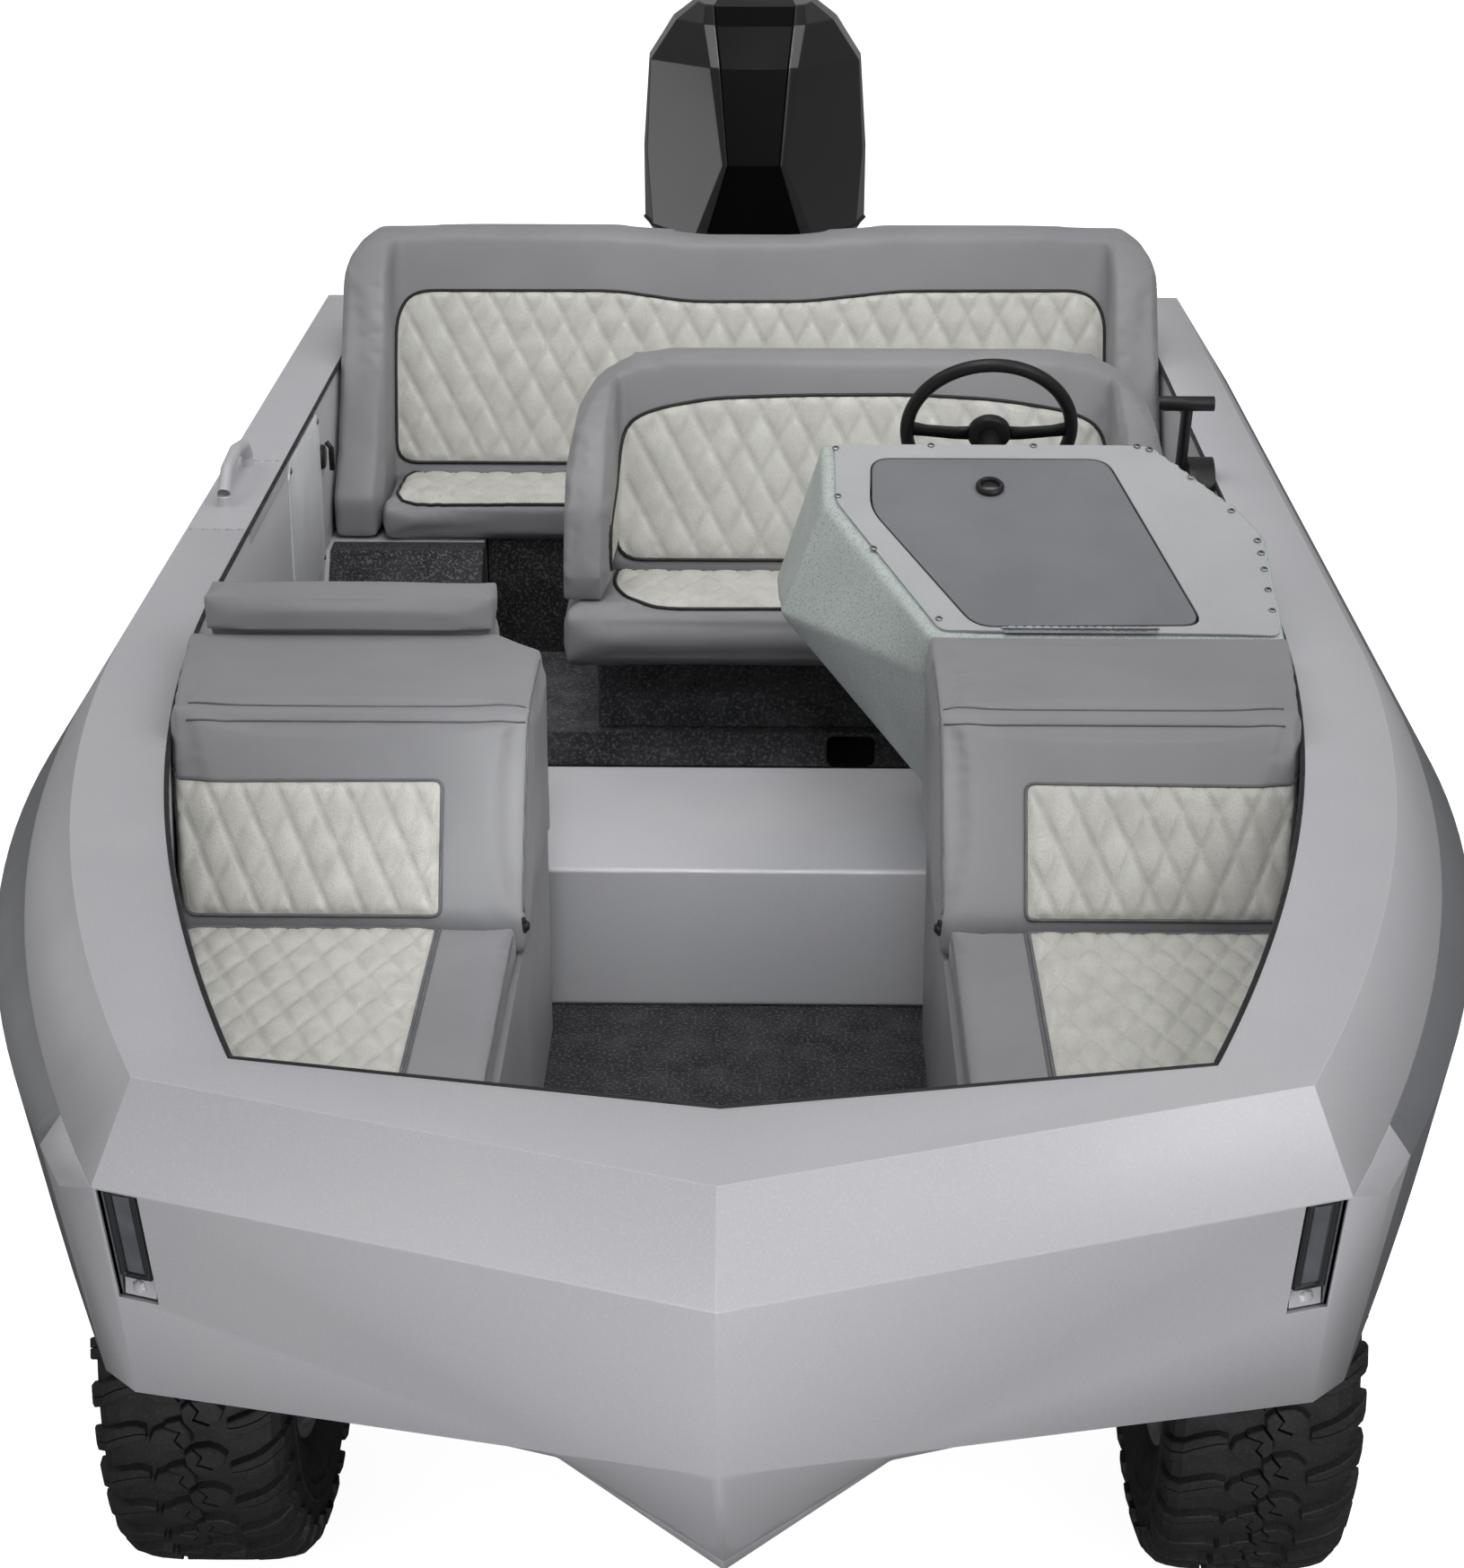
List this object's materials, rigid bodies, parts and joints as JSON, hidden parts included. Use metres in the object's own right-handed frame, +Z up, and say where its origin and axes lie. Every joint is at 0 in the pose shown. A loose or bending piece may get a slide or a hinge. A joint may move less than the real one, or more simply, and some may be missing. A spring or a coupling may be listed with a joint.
{
  "type": "amphibious car",
  "caption": "Open V-bow aluminium boat on four off-road wheels, with quilted seats, a helm console and an outboard motor.",
  "frame": {"origin": "on the ground below the middle of the overall length and width", "axes": "+X to the vehicle's left, -Y towards its bow, +Z up"},
  "size_m": [2.27, 5.282, 1.7453],
  "materials": {
    "hull_paint": "satin",
    "bare_plate": "satin",
    "carpet": "matt",
    "vinyl": "fine grain",
    "console_paint": "speckled",
    "panel_paint": "matt",
    "black_plastic": "matt",
    "cowl_gloss": "gloss",
    "motor_metal": "satin",
    "steel": "brushed",
    "iron": "rough",
    "rim": "satin",
    "tyre": "matt",
    "lamp": "gloss",
    "tail_lamp": "gloss",
    "board": "satin"
  },
  "bodies": {
    "hull": {"hull_bow": "hull_paint", "hull_sides": "hull_paint", "hull_tub": "hull_paint", "gunwale_deck": "hull_paint", "transom": "hull_paint", "cockpit_walls": "hull_paint", "bow_floor": "carpet", "helm_floor": "carpet", "aft_floor": "carpet", "well_covers": "carpet", "step_box": "board", "bow_seat_bases": "board", "bow_cushions": "vinyl", "bow_backrests": "vinyl", "companion_base": "board", "companion_cushion": "vinyl", "companion_backrest": "vinyl", "console_shell": "console_paint", "console_panel": "panel_paint", "steering_column": "black_plastic", "throttle": "black_plastic", "helm_cushion": "vinyl", "helm_backrest": "vinyl", "helm_base": "carpet", "bench_base": "carpet", "parcel_shelf": "carpet", "wheel_housings": "hull_paint", "bench_cushion": "vinyl", "bench_backrest": "vinyl", "engine_block": "iron", "mooring_cleat": "bare_plate", "access_plate": "bare_plate", "head_lamps": "lamp", "tail_lamps": "tail_lamp", "front_arms": "steel", "rear_carriers": "steel", "motor_bracket": "motor_metal"},
    "knuckle_left": {"knuckle_left": "steel"},
    "knuckle_right": {"knuckle_right": "steel"},
    "helm_wheel": {"steering_wheel": "black_plastic"},
    "console_lid": {"console_hatch": "panel_paint", "hatch_latch": "black_plastic"},
    "motor_tilting": {"motor_swivel": "motor_metal"},
    "motor_steering": {"motor_leg": "motor_metal", "motor_cowl": "cowl_gloss"},
    "screw": {"propeller": "bare_plate"},
    "wheel_front_left": {"rim_front_left": "rim", "tyre_front_left": "tyre"},
    "wheel_front_right": {"rim_front_right": "rim", "tyre_front_right": "tyre"},
    "wheel_rear_left": {"rim_rear_left": "rim", "tyre_rear_left": "tyre"},
    "wheel_rear_right": {"rim_rear_right": "rim", "tyre_rear_right": "tyre"}
  },
  "joints": [
    {"name": "steer_left", "type": "hinge", "parent": "hull", "child": "knuckle_left", "pos_m": [0.62, -1.559, 0.405], "axis": [0, 0, 1], "range_deg": [-26, 26]},
    {"name": "steer_right", "type": "hinge", "parent": "hull", "child": "knuckle_right", "pos_m": [-0.62, -1.559, 0.405], "axis": [0, 0, 1], "range_deg": [-26, 26]},
    {"name": "helm_turn", "type": "hinge", "parent": "hull", "child": "helm_wheel", "pos_m": [0.438, -0.229, 1.349], "axis": [0, 0.9063, 0.4226], "range_deg": [-360, 360]},
    {"name": "console_lid_hinge", "type": "hinge", "parent": "hull", "child": "console_lid", "pos_m": [0.5465, -0.88617, 1.21108], "axis": [1, 0, 0], "range_deg": [0, 80]},
    {"name": "motor_tilt", "type": "hinge", "parent": "hull", "child": "motor_tilting", "pos_m": [0, 1.961, 1.03], "axis": [1, 0, 0], "range_deg": [0, 60]},
    {"name": "motor_steer", "type": "hinge", "parent": "motor_tilting", "child": "motor_steering", "pos_m": [0, 2.091, 1.03], "axis": [0, 0, 1], "range_deg": [-30, 30]},
    {"name": "screw_turn", "type": "hinge", "parent": "motor_steering", "child": "screw", "pos_m": [0, 2.411, 0.285], "axis": [0, 1, 0], "continuous": true},
    {"name": "roll_front_left", "type": "hinge", "parent": "knuckle_left", "child": "wheel_front_left", "pos_m": [0.74, -1.559, 0.405], "axis": [1, 0, 0], "continuous": true},
    {"name": "roll_front_right", "type": "hinge", "parent": "knuckle_right", "child": "wheel_front_right", "pos_m": [-0.74, -1.559, 0.405], "axis": [1, 0, 0], "continuous": true},
    {"name": "roll_rear_left", "type": "hinge", "parent": "hull", "child": "wheel_rear_left", "pos_m": [0.74, 0.891, 0.405], "axis": [1, 0, 0], "continuous": true},
    {"name": "roll_rear_right", "type": "hinge", "parent": "hull", "child": "wheel_rear_right", "pos_m": [-0.74, 0.891, 0.405], "axis": [1, 0, 0], "continuous": true}
  ],
  "couplings": [
    {"joint": "steer_right", "follows": "steer_left", "ratio": 1},
    {"joint": "helm_turn", "follows": "steer_left", "ratio": 13.846}
  ]
}
